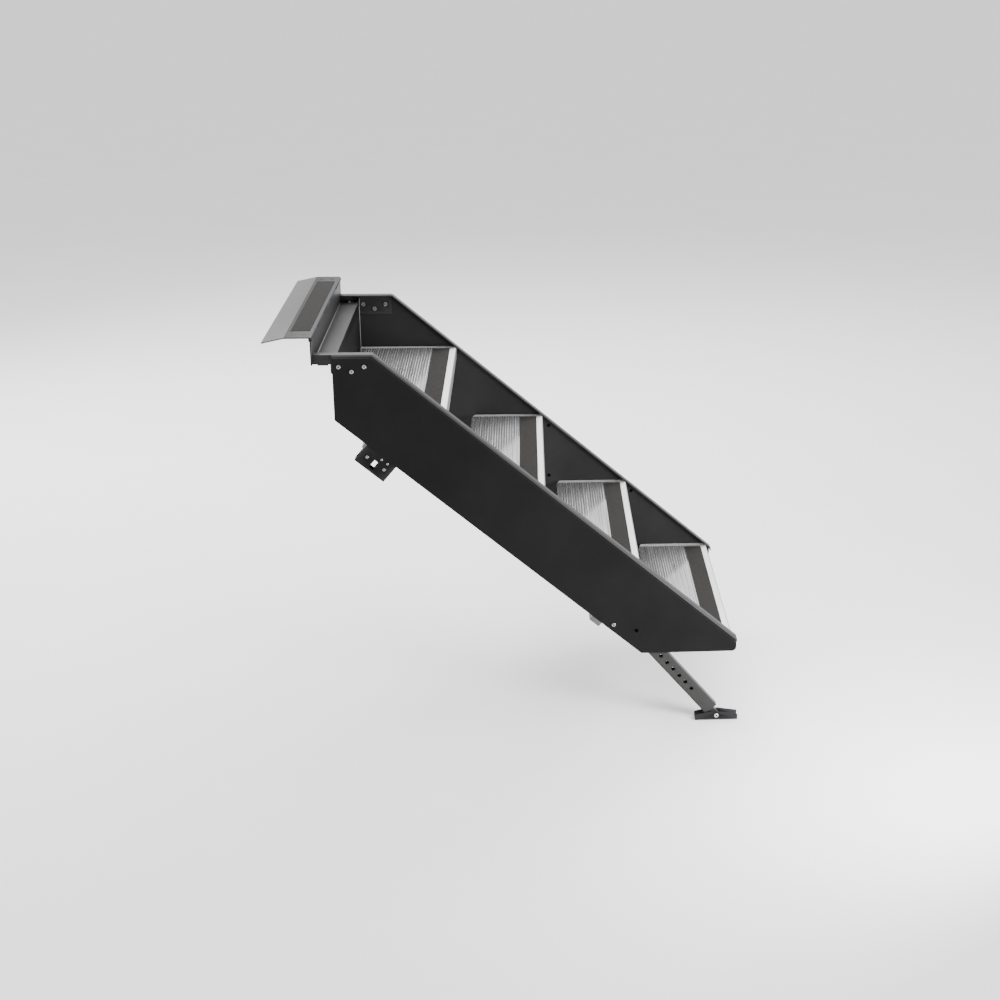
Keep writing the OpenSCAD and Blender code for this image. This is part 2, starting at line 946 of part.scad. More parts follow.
module foot_pad_left() {
    half = foot_w / 2;
    color("#151515")
        foot_frame()
            block([-foot_len / 2, -half, ground], [foot_len / 2, half, ground + pad_t]);
}

module foot_pad_right() {
    right()
        foot_pad_left();
}

module foot_bolt_left() {
    half = foot_w / 2;
    color("silver")
        foot_frame() {
            rod(0, 0, bolt_head_r, half, half + bolt_head_t);
            rod(0, 0, bolt_r, -half - bolt_head_t, half + tiny);
            hex_rod(0, 0, bolt_head_r, -half - bolt_head_t, -half);
        }
}

module foot_bolt_right() {
    right()
        foot_bolt_left();
}

threshold_plate();
threshold_grip();
hinge_pin();
hinge_riser();
kick_plate();
ledge_screws();
arm_left();
arm_right();
arm_bolts();
arm_nuts();
side_panel_left();
side_panel_right();
tread_1();
tread_2();
tread_3();
tread_4();
tread_grip_1();
tread_grip_2();
tread_grip_3();
tread_grip_4();
tread_brackets_left();
tread_brackets_right();
bracket_nuts_left();
bracket_nuts_right();
upper_brace();
lower_brace();
stay_bracket_left();
stay_bracket_right();
stay_bolts();
stay_screws();
panel_plugs();
leg_sleeve_left();
leg_sleeve_right();
sleeve_bolts();
plunger_barrel_left();
plunger_barrel_right();
plunger_left();
plunger_right();
pull_knob_left();
pull_knob_right();
leg_left();
leg_right();
leg_tongue_left();
leg_tongue_right();
foot_left();
foot_right();
foot_pad_left();
foot_pad_right();
foot_bolt_left();
foot_bolt_right();
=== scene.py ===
from math import atan2, cos, pi, radians, sin, tan

import bmesh
import bpy
from mathutils import Matrix, Vector


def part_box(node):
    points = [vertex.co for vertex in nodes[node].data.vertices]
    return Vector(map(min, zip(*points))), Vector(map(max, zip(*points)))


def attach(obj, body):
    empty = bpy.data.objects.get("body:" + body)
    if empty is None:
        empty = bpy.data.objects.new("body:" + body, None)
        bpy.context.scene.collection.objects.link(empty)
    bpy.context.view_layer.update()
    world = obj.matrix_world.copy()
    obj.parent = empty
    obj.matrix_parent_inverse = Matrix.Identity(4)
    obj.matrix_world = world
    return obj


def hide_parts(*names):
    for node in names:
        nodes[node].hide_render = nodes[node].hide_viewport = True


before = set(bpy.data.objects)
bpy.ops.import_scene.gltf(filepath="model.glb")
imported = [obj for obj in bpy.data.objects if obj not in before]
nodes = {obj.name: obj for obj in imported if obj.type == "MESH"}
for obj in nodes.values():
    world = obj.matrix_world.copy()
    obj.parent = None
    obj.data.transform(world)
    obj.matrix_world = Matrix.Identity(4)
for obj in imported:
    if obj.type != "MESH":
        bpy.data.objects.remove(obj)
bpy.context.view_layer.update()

print("frame loaded:", len(nodes), "nodes")


# Shared mesh helpers, all in metres and in the part's own frame

def finishMesh(mesh, sharpAngle=32):
    for face in mesh.polygons:
        face.use_smooth = True
    mesh.set_sharp_from_angle(angle=radians(sharpAngle))
    return mesh


def addPiece(name, mesh, body, slotName, material, *replaced):
    piece = bpy.data.objects.new(name, finishMesh(mesh))
    bpy.context.scene.collection.objects.link(piece)
    mesh.materials.clear()
    mesh.materials.append(material)
    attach(piece, body)
    if replaced:
        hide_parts(*replaced)
    return piece


def joined(*meshes):
    bm = bmesh.new()
    for mesh in meshes:
        bm.from_mesh(mesh)
    result = bpy.data.meshes.new("joined")
    bm.to_mesh(result)
    bm.free()
    return result


def mirrored(mesh):
    copy = mesh.copy()
    copy.transform(Matrix.Diagonal((1, -1, 1, 1)))
    copy.flip_normals()
    return copy


def onSide(mesh, side):
    return mesh if side == "left" else mirrored(mesh)


# local x, y, z of an outline turned to stand in each plane
planes = {
    "XZ": Matrix(((1, 0, 0, 0), (0, 0, -1, 0), (0, 1, 0, 0), (0, 0, 0, 1))),
    "XY": Matrix.Identity(4),
}
planeAxis = {"XZ": Vector((0, 1, 0)), "XY": Vector((0, 0, 1))}


def sheetMesh(loops, low, high, edge, plane="XZ"):
    # outlines with their holes, given a thickness and a small round on the edges
    curve = bpy.data.curves.new("outline", "CURVE")
    curve.dimensions = "2D"
    curve.fill_mode = "BOTH"
    curve.extrude = (high - low) / 2 - edge
    curve.bevel_depth = edge
    curve.bevel_resolution = 2
    curve.offset = -edge
    for loop in loops:
        spline = curve.splines.new("POLY")
        spline.points.add(len(loop) - 1)
        for point, (a, b) in zip(spline.points, loop):
            point.co = (a, b, 0, 1)
        spline.use_cyclic_u = True
    holder = bpy.data.objects.new("outline", curve)
    bpy.context.scene.collection.objects.link(holder)
    depsgraph = bpy.context.evaluated_depsgraph_get()
    mesh = bpy.data.meshes.new_from_object(holder.evaluated_get(depsgraph))
    bpy.data.objects.remove(holder)
    bpy.data.curves.remove(curve)
    mesh.transform(Matrix.Translation(planeAxis[plane] * (low + high) / 2) @ planes[plane])
    return mesh


def ring(centre, radius, count=32, start=0.0):
    return [(centre[0] + radius * cos(start + 2 * pi * k / count),
             centre[1] + radius * sin(start + 2 * pi * k / count)) for k in range(count)]


def roundedPath(points, radii, steps=8):
    # the points with an arc in place of each inner corner
    path = [Vector(points[0])]
    for before, at, after, radius in zip(points, points[1:], points[2:], radii):
        before, at, after = Vector(before), Vector(at), Vector(after)
        into = (at - before).normalized()
        out = (after - at).normalized()
        turn = into.angle_signed(out)
        reach = radius * tan(abs(turn) / 2)
        if radius <= 0:
            path.append(at)
            continue
        side = Vector((into.y, -into.x)) if turn > 0 else Vector((-into.y, into.x))
        centre = at - into * reach + side * radius
        arm = at - into * reach - centre
        for k in range(steps + 1):
            angle = -turn * k / steps
            path.append(centre + Vector((arm.x * cos(angle) - arm.y * sin(angle),
                                         arm.x * sin(angle) + arm.y * cos(angle))))
    path.append(Vector(points[-1]))
    return path


def roundedLoop(points, radii, steps=6):
    # a closed outline with its corners rounded
    count = len(points)
    loop = []
    for k in range(count):
        three = [points[k - 1], points[k], points[(k + 1) % count]]
        if radii[k] <= 0:
            loop.append(tuple(points[k]))
        else:
            loop += [tuple(p) for p in roundedPath(three, [radii[k]], steps)[1:-1]]
    return loop


def pathNormals(path):
    normals = []
    for k, point in enumerate(path):
        into = (point - path[max(k - 1, 0)])
        out = (path[min(k + 1, len(path) - 1)] - point)
        into = into.normalized() if into.length > 1e-9 else out.normalized()
        out = out.normalized() if out.length > 1e-9 else into
        along = (into + out).normalized()
        stretch = 1 / max(along.dot(into), 0.5)
        normals.append(Vector((-along.y, along.x)) * stretch)
    return normals


def foldLoop(points, radii, thickness, steps=8):
    # the section of a sheet that follows the points, with round bends
    path = roundedPath(points, radii, steps)
    normals = pathNormals(path)
    upper = [p + n * thickness / 2 for p, n in zip(path, normals)]
    lower = [p - n * thickness / 2 for p, n in zip(path, normals)]
    return [tuple(p) for p in upper + lower[::-1]]


def gridMesh(rings, caps=True):
    # skins a row of equal closed rings of points
    bm = bmesh.new()
    rows = [[bm.verts.new(p) for p in points] for points in rings]
    count = len(rows[0])
    for a, b in zip(rows, rows[1:]):
        for k in range(count):
            n = (k + 1) % count
            bm.faces.new((a[k], a[n], b[n], b[k]))
    if caps:
        bm.faces.new(rows[0][::-1])
        bm.faces.new(rows[-1])
    bmesh.ops.remove_doubles(bm, verts=bm.verts, dist=1e-6)
    bmesh.ops.recalc_face_normals(bm, faces=bm.faces)
    mesh = bpy.data.meshes.new("grid")
    bm.to_mesh(mesh)
    bm.free()
    return mesh


def turnedRings(profile, centre, count=36):
    # a profile of (radius, distance along Y) turned about an axis through centre
    rings = []
    for radius, along in profile:
        rings.append([Vector((centre[0] + radius * cos(2 * pi * k / count), centre[1] + along,
                              centre[2] + radius * sin(2 * pi * k / count))) for k in range(count)])
    return rings


def latheMesh(profile, centre, count=36):
    return gridMesh(turnedRings(profile, centre, count))


def softened(node, edge, segments=2):
    # a copy of a CAD solid with its sharp edges rounded
    bm = bmesh.new()
    bm.from_mesh(nodes[node].data)
    bmesh.ops.remove_doubles(bm, verts=bm.verts, dist=1e-6)
    bmesh.ops.dissolve_limit(bm, angle_limit=radians(0.5), verts=bm.verts, edges=bm.edges)
    sharp = [e for e in bm.edges if e.is_manifold and e.calc_face_angle(0) > radians(35)]
    bmesh.ops.bevel(bm, geom=sharp, offset=edge, offset_type="OFFSET", segments=segments,
                    profile=0.5, affect="EDGES", clamp_overlap=True)
    mesh = bpy.data.meshes.new(node)
    bm.to_mesh(mesh)
    bm.free()
    return mesh


def middle(node):
    low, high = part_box(node)
    return (low + high) / 2


# Finishes

def startMaterial(name):
    material = bpy.data.materials.new(name)
    material.use_nodes = True
    tree = material.node_tree
    tree.nodes.clear()
    output = tree.nodes.new("ShaderNodeOutputMaterial")
    shader = tree.nodes.new("ShaderNodeBsdfPrincipled")
    tree.links.new(shader.outputs["BSDF"], output.inputs["Surface"])
    return material, tree, shader


def noiseNode(tree, scale, detail=4.0, stretch=(1, 1, 1), roughness=0.55):
    place = tree.nodes.new("ShaderNodeTexCoord")
    mapping = tree.nodes.new("ShaderNodeMapping")
    mapping.inputs["Scale"].default_value = stretch
    noise = tree.nodes.new("ShaderNodeTexNoise")
    noise.inputs["Scale"].default_value = scale
    noise.inputs["Detail"].default_value = detail
    noise.inputs["Roughness"].default_value = roughness
    tree.links.new(place.outputs["Object"], mapping.inputs["Vector"])
    tree.links.new(mapping.outputs["Vector"], noise.inputs["Vector"])
    return noise.outputs["Fac"]


def spread(tree, value, low, high, fromLow=0.3, fromHigh=0.7):
    node = tree.nodes.new("ShaderNodeMapRange")
    node.inputs["From Min"].default_value = fromLow
    node.inputs["From Max"].default_value = fromHigh
    node.inputs["To Min"].default_value = low
    node.inputs["To Max"].default_value = high
    tree.links.new(value, node.inputs["Value"])
    return node.outputs["Result"]


def blendColours(tree, factor, first, second):
    node = tree.nodes.new("ShaderNodeMix")
    node.data_type = "RGBA"
    tree.links.new(factor, node.inputs["Factor"])
    for socket, value in ((node.inputs["A"], first), (node.inputs["B"], second)):
        if isinstance(value, tuple):
            socket.default_value = (*value, 1)
        else:
            tree.links.new(value, socket)
    return node.outputs["Result"]


def bumpNode(tree, shader, height, strength, distance):
    bump = tree.nodes.new("ShaderNodeBump")
    bump.inputs["Strength"].default_value = strength
    bump.inputs["Distance"].default_value = distance
    tree.links.new(height, bump.inputs["Height"])
    tree.links.new(bump.outputs["Normal"], shader.inputs["Normal"])


coatLook = {"dark": (0.0064, 0.0063, 0.0068), "light": (0.0092, 0.009, 0.0096),
            "edgeHighlightTone": (0.06, 0.06, 0.063), "gloss": 0.062}
coatGrain = {"mottle": 7, "patch": 35, "orangePeel": 1100, "roughness": (0.37, 0.395), "edgeHighlight": 0.6,
             "edgeHighlightFrom": (0.53, 0.62), "peelStrength": 0.12, "peelDepth": 0.0004}


def powderCoat(name, look):
    material, tree, shader = startMaterial(name)
    grain = coatGrain
    mottle = spread(tree, noiseNode(tree, grain["mottle"], 5), 0, 1)
    colour = blendColours(tree, mottle, look["dark"], look["light"])
    # painted highlight: convex edges, found by pointiness, are lightened towards the edge highlight tone
    edges = tree.nodes.new("ShaderNodeNewGeometry")
    edgeHighlight = spread(tree, edges.outputs["Pointiness"], 0, grain["edgeHighlight"], *grain["edgeHighlightFrom"])
    tree.links.new(blendColours(tree, edgeHighlight, colour, look["edgeHighlightTone"]), shader.inputs["Base Color"])
    patches = noiseNode(tree, grain["patch"], 4)
    tree.links.new(spread(tree, patches, *grain["roughness"]), shader.inputs["Roughness"])
    bumpNode(tree, shader, noiseNode(tree, grain["orangePeel"], 2), grain["peelStrength"], grain["peelDepth"])
    shader.inputs["IOR"].default_value = 1.5
    shader.inputs["Specular IOR Level"].default_value = look["gloss"]
    return material


alloyLook = {"dull": (0.52, 0.51, 0.5), "bright": (0.81, 0.815, 0.84), "streak": (1, 0.012, 1)}
alloyGrain = {"streak": 420, "cloud": 9, "streakStrength": 0.04, "streakDepth": 0.0003}


def bareAlloy(name, look, smoothest, roughest, metallic=1.0):
    material, tree, shader = startMaterial(name)
    streaks = noiseNode(tree, alloyGrain["streak"], 6, look["streak"])
    clouds = noiseNode(tree, alloyGrain["cloud"], 5)
    tone = spread(tree, streaks, 0, 1, 0.35, 0.65)
    tree.links.new(blendColours(tree, tone, look["dull"], look["bright"]), shader.inputs["Base Color"])
    mixed = tree.nodes.new("ShaderNodeMath")
    mixed.operation = "MULTIPLY"
    tree.links.new(spread(tree, streaks, 0.8, 1.2), mixed.inputs[0])
    tree.links.new(spread(tree, clouds, smoothest, roughest), mixed.inputs[1])
    tree.links.new(mixed.outputs["Value"], shader.inputs["Roughness"])
    bumpNode(tree, shader, streaks, alloyGrain["streakStrength"], alloyGrain["streakDepth"])
    shader.inputs["Metallic"].default_value = metallic
    return material


gritLook = {"pit": (0.011, 0.0107, 0.0105), "grain": (0.036, 0.0345, 0.033), "glint": (0.14, 0.135, 0.13),
            "grainScale": 1500, "speckScale": 2600, "bumpStrength": 0.9, "bumpDepth": 0.0008}


def gritTape(name, look):
    material, tree, shader = startMaterial(name)
    grain = noiseNode(tree, look["grainScale"], 3, roughness=0.7)
    colour = blendColours(tree, spread(tree, grain, 0, 1, 0.32, 0.62), look["pit"], look["grain"])
    speck = spread(tree, noiseNode(tree, look["speckScale"], 1), 0, 0.8, 0.68, 0.74)
    tree.links.new(blendColours(tree, speck, colour, look["glint"]), shader.inputs["Base Color"])
    bumpNode(tree, shader, grain, look["bumpStrength"], look["bumpDepth"])
    shader.inputs["Roughness"].default_value = 0.9
    shader.inputs["Specular IOR Level"].default_value = 0.06
    return material


zincLook = {"dull": (0.24, 0.24, 0.24), "bright": (0.38, 0.38, 0.38)}


def zincPlate(name, look):
    material, tree, shader = startMaterial(name)
    cloud = noiseNode(tree, 160, 5)
    tree.links.new(blendColours(tree, spread(tree, cloud, 0, 1), look["dull"], look["bright"]),
                   shader.inputs["Base Color"])
    tree.links.new(spread(tree, cloud, 0.26, 0.4), shader.inputs["Roughness"])
    bumpNode(tree, shader, noiseNode(tree, 2200, 2), 0.06, 0.0002)
    shader.inputs["Metallic"].default_value = 1.0
    return material


def mouldedBlack(name, tone, roughness, grainScale, grainDepth, gloss=0.4):
    material, tree, shader = startMaterial(name)
    grain = noiseNode(tree, grainScale, 3)
    light = tuple(1.7 * c for c in tone)
    tree.links.new(blendColours(tree, spread(tree, grain, 0, 1), tone, light), shader.inputs["Base Color"])
    tree.links.new(spread(tree, noiseNode(tree, 40, 4), roughness - 0.06, roughness + 0.06),
                   shader.inputs["Roughness"])
    bumpNode(tree, shader, grain, grainDepth, 0.0005)
    shader.inputs["Specular IOR Level"].default_value = gloss
    return material


coat = powderCoat("blackPowderCoat", coatLook)
legCoat = powderCoat("legPowderCoat", {
    "dark": (0.025, 0.0247, 0.0243), "light": (0.033, 0.0326, 0.0322), "edgeHighlightTone": (0.045, 0.045, 0.045),
    "gloss": 0.16})
shadeCoat = powderCoat("kickPowderCoat", {
    "dark": (0.0085, 0.0083, 0.0088), "light": (0.0105, 0.0103, 0.0108), "edgeHighlightTone": (0.02, 0.02, 0.02),
    "gloss": 0.008})
# painted light: a paler copy of the coat for the faces inside the stair, which get less light
innerPaintedLightCoat = powderCoat("innerPaintedLightPowderCoat", {
    **coatLook, "dark": (0.02, 0.0197, 0.0206), "light": (0.025, 0.0247, 0.0256), "gloss": 0.025})
# painted highlight: a paler, glossier copy of the coat for the panel rims and the tops of the arms
rimHighlightCoat = powderCoat("rimHighlightPowderCoat", {
    "dark": (0.036, 0.0355, 0.036), "light": (0.045, 0.0445, 0.045), "edgeHighlightTone": (0.075, 0.075, 0.075),
    "gloss": 0.088})
flatCoat = powderCoat("flatPowderCoat", {**coatLook, "gloss": 0.055})
ledgeCoat = powderCoat("ledgePowderCoat", {**coatLook, "gloss": 0.07})
# painted highlight: a paler, glossier copy of the coat for the threshold lip and the bend of the riser
lipHighlightCoat = powderCoat("lipHighlightPowderCoat", {
    **coatLook, "dark": (0.03, 0.03, 0.03), "light": (0.038, 0.038, 0.038), "gloss": 0.21})
# painted highlight: a pale grey copy of the coat for the light lines and tabs at the ends of the kick plate
kickHighlightCoat = powderCoat("kickHighlightPowderCoat", {
    "dark": (0.2, 0.2, 0.2), "light": (0.26, 0.26, 0.26), "edgeHighlightTone": (0.3, 0.3, 0.3), "gloss": 0.2})
ribAlloy = bareAlloy("ribbedAluminium", alloyLook, 0.12, 0.17, 0.84)
# painted shade: a dark copy of the alloy for the grooves and the underside of the treads
grooveShadeAlloy = bareAlloy("grooveShadeAluminium", {"dull": (0.2, 0.2, 0.21), "bright": (0.42, 0.42, 0.43),
                                            "streak": (1, 0.012, 1)}, 0.42, 0.5, 0.6)
noseAlloy = bareAlloy("noseAluminium", {"dull": (0.67, 0.67, 0.675), "bright": (0.75, 0.75, 0.755),
                                        "streak": (1, 0.02, 1)}, 0.36, 0.44, 0.55)
endAlloy = bareAlloy("endAluminium", {"dull": (0.62, 0.62, 0.615), "bright": (0.72, 0.72, 0.715),
                                      "streak": (1, 0.02, 1)}, 0.4, 0.5, 0.25)
# painted shade: a dark copy of the alloy for the front face of the nosing
frontShadeAlloy = bareAlloy("frontShadeAluminium", {"dull": (0.14, 0.14, 0.14), "bright": (0.2, 0.2, 0.2),
                                          "streak": (1, 0.02, 1)}, 0.4, 0.5, 0.6)
# painted shade: a dark copy of the alloy for the braces and the ledge screws
braceShadeAlloy = bareAlloy("braceShadeAluminium", {"dull": (0.1, 0.1, 0.102), "bright": (0.16, 0.16, 0.163),
                                          "streak": (1, 0.02, 1)}, 0.4, 0.5)
grit = gritTape("gritTape", gritLook)
zinc = zincPlate("zincPlate", zincLook)
freshZinc = zincPlate("freshZinc", {"dull": (0.6, 0.6, 0.6), "bright": (0.75, 0.75, 0.75)})
plugPlastic = mouldedBlack("plugPlastic", (0.0012, 0.0012, 0.0012), 0.7, 900, 0.1, 0.02)
knobPlastic = mouldedBlack("knobPlastic", (0.012, 0.012, 0.012), 0.42, 900, 0.15)
socketShade = mouldedBlack("socketShade", (0.012, 0.012, 0.012), 0.6, 900, 0.1, 0.1)
padRubber = mouldedBlack("padRubber", (0.015, 0.015, 0.0145), 0.78, 600, 0.5)
print("finishes made")


# Places worked out from the frame
treadBoxes = [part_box("tread_%d" % k) for k in (1, 2, 3, 4)]
firstNose, lastNose = treadBoxes[0][1], treadBoxes[3][1]
fall = (firstNose.z - lastNose.z) / (lastNose.x - firstNose.x)
slope = atan2(firstNose.z - lastNose.z, lastNose.x - firstNose.x)
panelLow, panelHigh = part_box("side_panel_left")


# Side panels: a plate with a folded rim along its top edge
panel = {"sheet": 0.003, "foldRadius": 0.0055, "skirt": 0.0035, "proud": 0.0004, "flange": 0.026,
         "noseClear": 0.0004, "depth": 0.246, "toeRadius": 0.012, "rimBend": 0.012, "frontBend": 0.011,
         "frontInset": 0.0028, "turnDown": 0.009, "edge": 0.0003, "lockHole": 0.00525}


def noseLine(x):
    return firstNose.z - (x - firstNose.x) * fall


def panelWeb():
    fold = panel["foldRadius"]
    lift = (panel["sheet"] + panel["noseClear"] - fold) / cos(slope)
    top = panelHigh.z - fold
    rearX, frontX = panelLow.x, panelHigh.x - panel["frontInset"]
    cornerX = firstNose.x + (firstNose.z + lift - top) / fall
    heelX = firstNose.x + (firstNose.z - panel["depth"] - panelLow.z) / fall
    outline = [(rearX, noseLine(rearX) - panel["depth"]), (rearX, top), (cornerX, top),
               (frontX, noseLine(frontX) + lift), (frontX, panelLow.z), (heelX, panelLow.z)]
    radii = [0.003, 0, panel["rimBend"] - fold, panel["frontBend"], panel["toeRadius"], 0.003]
    lock = middle("plunger_left")
    loops = [roundedLoop(outline, radii), ring((lock.x, lock.z), panel["lockHole"])]
    return sheetMesh(loops, panelHigh.y - panel["sheet"], panelHigh.y, panel["edge"])


def panelRim():
    # the section runs up the outside, over the fold, in along the flange and back underneath
    out, radius, sheet = panelHigh.y + panel["proud"], panel["foldRadius"], panel["sheet"]
    arc = [k * pi / 16 for k in range(9)]
    section = [(panelHigh.y - 0.0005, -radius - panel["skirt"]), (out - 0.0002, -radius - panel["skirt"]),
               (out, -radius - panel["skirt"] + 0.0003)]
    section += [(out - radius + radius * cos(a), -radius + radius * sin(a)) for a in arc]
    tip = panelHigh.y - panel["flange"]
    section += [(tip + 0.0008, 0), (tip, -0.0008), (tip, -sheet + 0.0008), (tip + 0.0008, -sheet)]
    inner = radius - sheet
    section += [(out - radius + inner * cos(a), -radius + inner * sin(a)) for a in arc[::-1]]
    section += [(out - sheet, -radius - panel["skirt"])]
    lift = (sheet + panel["noseClear"]) / cos(slope)
    frontX = panelHigh.x
    cornerX = firstNose.x + (firstNose.z + lift - panelHigh.z) / fall
    corners = [(panelLow.x, panelHigh.z), (cornerX, panelHigh.z), (frontX, noseLine(frontX) + lift),
               (frontX, noseLine(frontX) + lift - panel["turnDown"])]
    path = roundedPath(corners, [panel["rimBend"], panel["frontBend"]], 10)
    rings = [[Vector((p.x + n.x * d, y, p.y + n.y * d)) for y, d in section]
             for p, n in zip(path, pathNormals(path))]
    return gridMesh(rings)


def paintInnerLight(piece, side):
    # painted light: the faces toward the middle of the stair take a paler coat than the outer ones
    piece.data.materials.append(innerPaintedLightCoat)
    inward = -1 if side == "left" else 1
    for face in piece.data.polygons:
        if face.normal.y * inward > 0.7:
            face.material_index = 1


webMesh = panelWeb()
panelMesh = joined(webMesh, panelRim())
for side in ("left", "right"):
    piece = addPiece("sidePanel" + side.title(), onSide(panelMesh, side), "stair", "black_coat", coat,
                     "side_panel_" + side)
    paintInnerLight(piece, side)
    # painted highlight: the fold and flange of each rim take the paler rim coat
    piece.data.materials.append(rimHighlightCoat)
    for face in piece.data.polygons[len(webMesh.polygons):]:
        if abs(face.normal.y) < 0.99:
            face.material_index = 2
print("side panels made")


# Treads: ribbed planks with a bright rolled nosing and plain ends
tread = {"plate": 0.004, "noseHeight": 0.028, "web": 0.004, "noseRadius": 0.0032, "noseWidth": 0.018,
         "gripWidth": 0.048, "ribPitch": 0.007, "grooveWidth": 0.0026, "grooveDepth": 0.001,
         "grooveSlope": 0.0006, "endBorder": 0.02, "rearBorder": 0.01, "cornerX": 0.01, "cornerY": 0.032,
         "rearWeb": 0.034, "midWeb": 0.09}


def treadProfile(depth):
    # (x behind the nosing, height, groove share) around the section, from the rear edge over the top
    t = tread
    points = [(-depth, -t["plate"], 0), (-depth, -0.0012, 0), (-depth + 0.0012, 0, 0)]
    count = int((depth - t["rearBorder"] - t["noseWidth"] - t["gripWidth"]) / t["ribPitch"])
    start = t["noseWidth"] + t["gripWidth"] + t["ribPitch"] / 2
    for k in reversed(range(count)):
        rear = -(start + k * t["ribPitch"] + t["grooveWidth"])
        front = rear + t["grooveWidth"]
        points += [(rear, 0, 0), (rear + t["grooveSlope"], 0, 1), (front - t["grooveSlope"], 0, 1),
                   (front, 0, 0)]
    points.append((-t["noseWidth"] - 0.001, 0, 0))
    points.append((-t["noseWidth"], 0.0004, 0))
    arc = [k * pi / 16 for k in range(9)]
    radius = t["noseRadius"]
    points += [(-radius + radius * sin(a), radius * cos(a) - radius + 0.0004, 0) for a in arc]
    points += [(0, -t["noseHeight"] + 0.001, 0), (-0.001, -t["noseHeight"], 0),
               (-t["web"], -t["noseHeight"], 0), (-t["web"], -t["plate"], 0)]
    for web in (t["midWeb"], depth - t["rearWeb"]):
        half = t["web"] / 2
        points += [(-web + half, -t["plate"], 0), (-web + half, -t["noseHeight"], 0),
                   (-web - half, -t["noseHeight"], 0), (-web - half, -t["plate"], 0)]
    return points


def treadMesh(low, high, cutCorners):
    t = tread
    depth, half = high.x - low.x, high.y
    profile = treadProfile(depth)
    border = half - t["endBorder"]
    stations = [half, half - 0.001]
    stations += [half - t["cornerY"] * k / 6 for k in range(1, 7)]
    stations += [border + 0.0015, border, 0]
    stations = sorted(set(stations + [-y for y in stations]))
    rings = []
    for y in stations:
        reach = max(0, (abs(y) - half + t["cornerY"]) / t["cornerY"]) if cutCorners else 0
        rear = -depth + t["cornerX"] * reach ** 1.6
        inset = 0.0008 if abs(y) > half - 0.0005 else 0
        groove = t["grooveDepth"] if abs(y) <= border + 1e-6 else 0
        rings.append([Vector((high.x + max(x, rear), y,
                              high.z + z - share * groove - (inset if z >= 0 else 0)))
                      for x, z, share in profile])
    return gridMesh(rings)


def paintTread(piece, high):
    # painted shade: the grooves and the underside take a darker alloy than the ribs, and the front face of
    # the nosing a dark alloy; the nosing and the ends are plain
    for material in (grooveShadeAlloy, noseAlloy, endAlloy, frontShadeAlloy):
        piece.data.materials.append(material)
    border = high.y - tread["endBorder"]
    for face in piece.data.polygons:
        centre = face.center
        if face.normal.x > 0.25 and centre.x > high.x - 0.003:
            face.material_index = 4
        elif centre.z < high.z - tread["plate"] + 0.0001:
            face.material_index = 1
        elif centre.x > high.x - tread["noseWidth"] - 0.0005:
            face.material_index = 2
        elif abs(centre.y) > border + 0.0012:
            face.material_index = 3
        elif -0.8 * tread["grooveDepth"] > centre.z - high.z > -2 * tread["grooveDepth"]:
            face.material_index = 1


for k, (low, high) in enumerate(treadBoxes, 1):
    piece = addPiece("tread%d" % k, treadMesh(low, high, k > 1), "stair", "aluminium", ribAlloy,
                     "tread_%d" % k)
    paintTread(piece, high)
for name in ["threshold_grip"] + ["tread_grip_%d" % k for k in (1, 2, 3, 4)]:
    nodes[name].data.materials.clear()
    nodes[name].data.materials.append(grit)
print("treads made")


# Threshold: a bent plate with the fixed knuckles of the hinge under its front edge
threshold = {"sheet": 0.003, "lipBend": 0.04, "lipTip": 0.0118, "flatBack": 0.031, "hood": 0.00225,
             "knuckles": 5, "gap": 0.0005, "barrel": 0.004, "edge": 0.0013, "screwInset": 0.032,
             "screwPitch": 0.03, "screwHole": 0.00275, "pinEdge": 0.0006}
plateLow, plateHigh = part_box("threshold_plate")
pinMiddle = middle("hinge_pin")
halfWidth = plateHigh.y
knuckleLength = 2 * halfWidth / threshold["knuckles"]


def knuckleSpan(k):
    start = -halfWidth + k * knuckleLength
    return start + threshold["gap"] / 2, start + knuckleLength - threshold["gap"] / 2


def knuckleMesh(k):
    low, high = knuckleSpan(k)
    return sheetMesh([ring((pinMiddle.x, pinMiddle.z), threshold["barrel"], 40)], low, high, 0.0006)


def thresholdSheet():
    t = threshold
    middleZ = plateHigh.z - t["sheet"] / 2
    tip = (plateLow.x + 0.0006, middleZ - t["lipTip"])
    front = (pinMiddle.x + t["hood"], middleZ)
    fold = foldLoop([tip, (-t["flatBack"], middleZ), front], [t["lipBend"]], t["sheet"], 16)
    meshes = [sheetMesh([fold], -halfWidth, halfWidth, t["edge"])]
    rear = pinMiddle.x - t["barrel"]
    tab = [(rear, pinMiddle.z), (pinMiddle.x, pinMiddle.z), (pinMiddle.x, middleZ), (rear, middleZ)]
    for k in range(0, t["knuckles"], 2):
        low, high = knuckleSpan(k)
        meshes += [sheetMesh([tab], low, high, 0.0003), knuckleMesh(k)]
    return joined(*meshes)


def plateScrews():
    # countersunk rims of the four fixing holes
    t = threshold
    hole = t["screwHole"]
    profile = [(hole + 0.0030, 0.0002), (hole + 0.0024, 0.0006), (hole, 0.0001), (hole - 0.0001, 0.0001)]
    meshes = []
    for sx in (-1, 1):
        for sy in (-1, 1):
            mesh = latheMesh(profile, (0, 0, 0), 28)
            place = (sx * t["screwPitch"] / 2, sy * (halfWidth - t["screwInset"]), plateHigh.z)
            mesh.transform(Matrix.Translation(place) @ Matrix.Rotation(pi / 2, 4, "X"))
            meshes.append(mesh)
    return joined(*meshes)


piece = addPiece("thresholdSheet", thresholdSheet(), "threshold", "black_coat", flatCoat, "threshold_plate")
